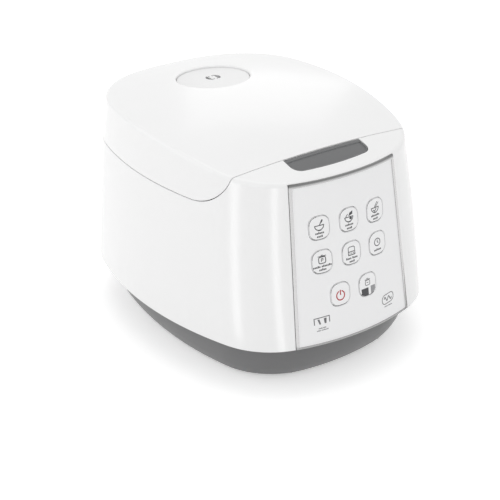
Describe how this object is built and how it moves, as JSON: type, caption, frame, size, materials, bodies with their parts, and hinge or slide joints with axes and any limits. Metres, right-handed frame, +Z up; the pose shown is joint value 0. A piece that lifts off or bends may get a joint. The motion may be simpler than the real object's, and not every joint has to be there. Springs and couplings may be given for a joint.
{
  "type": "rice cooker",
  "caption": "Electric rice cooker with a domed hinged lid, key panel, opening button, steam vent, inner pot and a grey bowl-shaped base.",
  "frame": {"origin": "on the surface that the feet stand on, in the middle of the whole cooker's length and width", "axes": "+X to the cooker's right as seen from the front of its panel's own side, -Y out of the control panel, +Y towards the hinge, +Z up"},
  "size_m": [0.2862, 0.377, 0.2433],
  "materials": {
    "casing_white": "glossy injection-moulded",
    "inner_white": "fine matt moulded",
    "collector_clear": "milky moulded",
    "base_grey": "fine-textured moulded",
    "button_grey": "satin moulded",
    "collar_grey": "satin moulded",
    "panel_sheet": "printed film",
    "panel_trim": "satin metallised",
    "key_white": "printed key tops",
    "rubber_grey": "matt",
    "silicone": "soft matt",
    "pot_coating": "non-stick coated",
    "plain_aluminium": "satin",
    "cast_aluminium": "as cast, turned top",
    "steel": "zinc plated",
    "element_steel": "heat tinted",
    "brass": "bare",
    "board_green": "laminate",
    "component_black": "moulded",
    "led_clear": "clear"
  },
  "bodies": {
    "root": {"outer_casing": "casing_white", "base_tray": "base_grey", "rubber_feet": "rubber_grey", "base_screws": "steel", "collar_ring": "collar_grey", "heat_shield": "steel", "heating_plate": "cast_aluminium", "heater_element": "element_steel", "plate_standoffs": "steel", "sensor_bracket": "steel", "sensor_spring": "steel", "thermal_fuse": "component_black", "panel_frame": "panel_trim", "panel_overlay": "panel_sheet", "control_board": "board_green", "tact_switches": "component_black", "indicator_leds": "led_clear", "latch_pin": "steel", "latch_spring": "steel", "hinge_bracket": "inner_white", "hinge_pin": "steel", "hinge_springs": "steel", "power_inlet": "component_black", "inlet_pins": "brass", "power_board": "board_green", "relay": "component_black", "transformer": "component_black", "capacitors": "component_black"},
    "sensor": {"sensor_cup": "plain_aluminium"},
    "pot": {"inner_pot": "pot_coating"},
    "button": {"open_button": "button_grey"},
    "latch": {"latch_hook": "component_black"},
    "lid": {"lid_cover": "casing_white", "lid_liner": "inner_white", "lid_screws": "steel", "lid_catch": "steel", "inner_lid_plate": "plain_aluminium", "inner_lid_gasket": "silicone", "inner_lid_grommet": "silicone", "steam_duct": "inner_white"},
    "vent": {"vent_cap": "casing_white", "vent_cup": "inner_white", "vent_seal": "silicone"},
    "collector": {"condensation_collector": "collector_clear"},
    "key_program_1": {"key_program_1": "key_white"},
    "key_program_2": {"key_program_2": "key_white"},
    "key_program_3": {"key_program_3": "key_white"},
    "key_program_4": {"key_program_4": "key_white"},
    "key_program_5": {"key_program_5": "key_white"},
    "key_program_6": {"key_program_6": "key_white"},
    "key_power": {"key_power": "key_white"},
    "key_keep_warm": {"key_keep_warm": "key_white"}
  },
  "joints": [
    {"name": "lid_hinge", "type": "hinge", "parent": "root", "child": "lid", "pos_m": [0, 0.1625, 0.194], "axis": [-1, 0, 0], "range_deg": [0, 85]},
    {"name": "button_press", "type": "slide", "parent": "root", "child": "button", "axis": [0, 0, -1], "range_m": [0, 0.0035], "stiffness_N_per_m": 600},
    {"name": "latch_swing", "type": "hinge", "parent": "root", "child": "latch", "pos_m": [0, -0.131, 0.188], "axis": [1, 0, 0], "range_deg": [0, 14.5], "deforming": ["latch_spring"]},
    {"name": "key_program_1_press", "type": "slide", "parent": "root", "child": "key_program_1", "axis": [0, 0.9892, -0.1469], "range_m": [0, 0.0006], "stiffness_N_per_m": 800},
    {"name": "key_program_2_press", "type": "slide", "parent": "root", "child": "key_program_2", "axis": [0, 0.9892, -0.1469], "range_m": [0, 0.0006], "stiffness_N_per_m": 800},
    {"name": "key_program_3_press", "type": "slide", "parent": "root", "child": "key_program_3", "axis": [0, 0.9892, -0.1469], "range_m": [0, 0.0006], "stiffness_N_per_m": 800},
    {"name": "key_program_4_press", "type": "slide", "parent": "root", "child": "key_program_4", "axis": [0, 0.9892, -0.1469], "range_m": [0, 0.0006], "stiffness_N_per_m": 800},
    {"name": "key_program_5_press", "type": "slide", "parent": "root", "child": "key_program_5", "axis": [0, 0.9892, -0.1469], "range_m": [0, 0.0006], "stiffness_N_per_m": 800},
    {"name": "key_program_6_press", "type": "slide", "parent": "root", "child": "key_program_6", "axis": [0, 0.9892, -0.1469], "range_m": [0, 0.0006], "stiffness_N_per_m": 800},
    {"name": "key_power_press", "type": "slide", "parent": "root", "child": "key_power", "axis": [0, 0.9892, -0.1469], "range_m": [0, 0.0006], "stiffness_N_per_m": 800},
    {"name": "key_keep_warm_press", "type": "slide", "parent": "root", "child": "key_keep_warm", "axis": [0, 0.9892, -0.1469], "range_m": [0, 0.0006], "stiffness_N_per_m": 800},
    {"name": "vent_lift", "type": "slide", "parent": "lid", "child": "vent", "axis": [0, 0, 1], "range_m": [0, 0.045]},
    {"name": "pot_turn", "type": "hinge", "parent": "root", "child": "pot", "pos_m": [0, 0.026, 0.188], "axis": [0, 0, 1], "continuous": true},
    {"name": "sensor_plunge", "type": "slide", "parent": "root", "child": "sensor", "axis": [0, 0, -1], "range_m": [0, 0.002], "stiffness_N_per_m": 1500, "deforming": ["sensor_spring"]},
    {"name": "collector_slide", "type": "slide", "parent": "root", "child": "collector", "axis": [0, 1, 0], "range_m": [0, 0.037]}
  ],
  "couplings": [
    {"joint": "latch_swing", "follows": "button_press", "rad_per_m": 71.429}
  ]
}
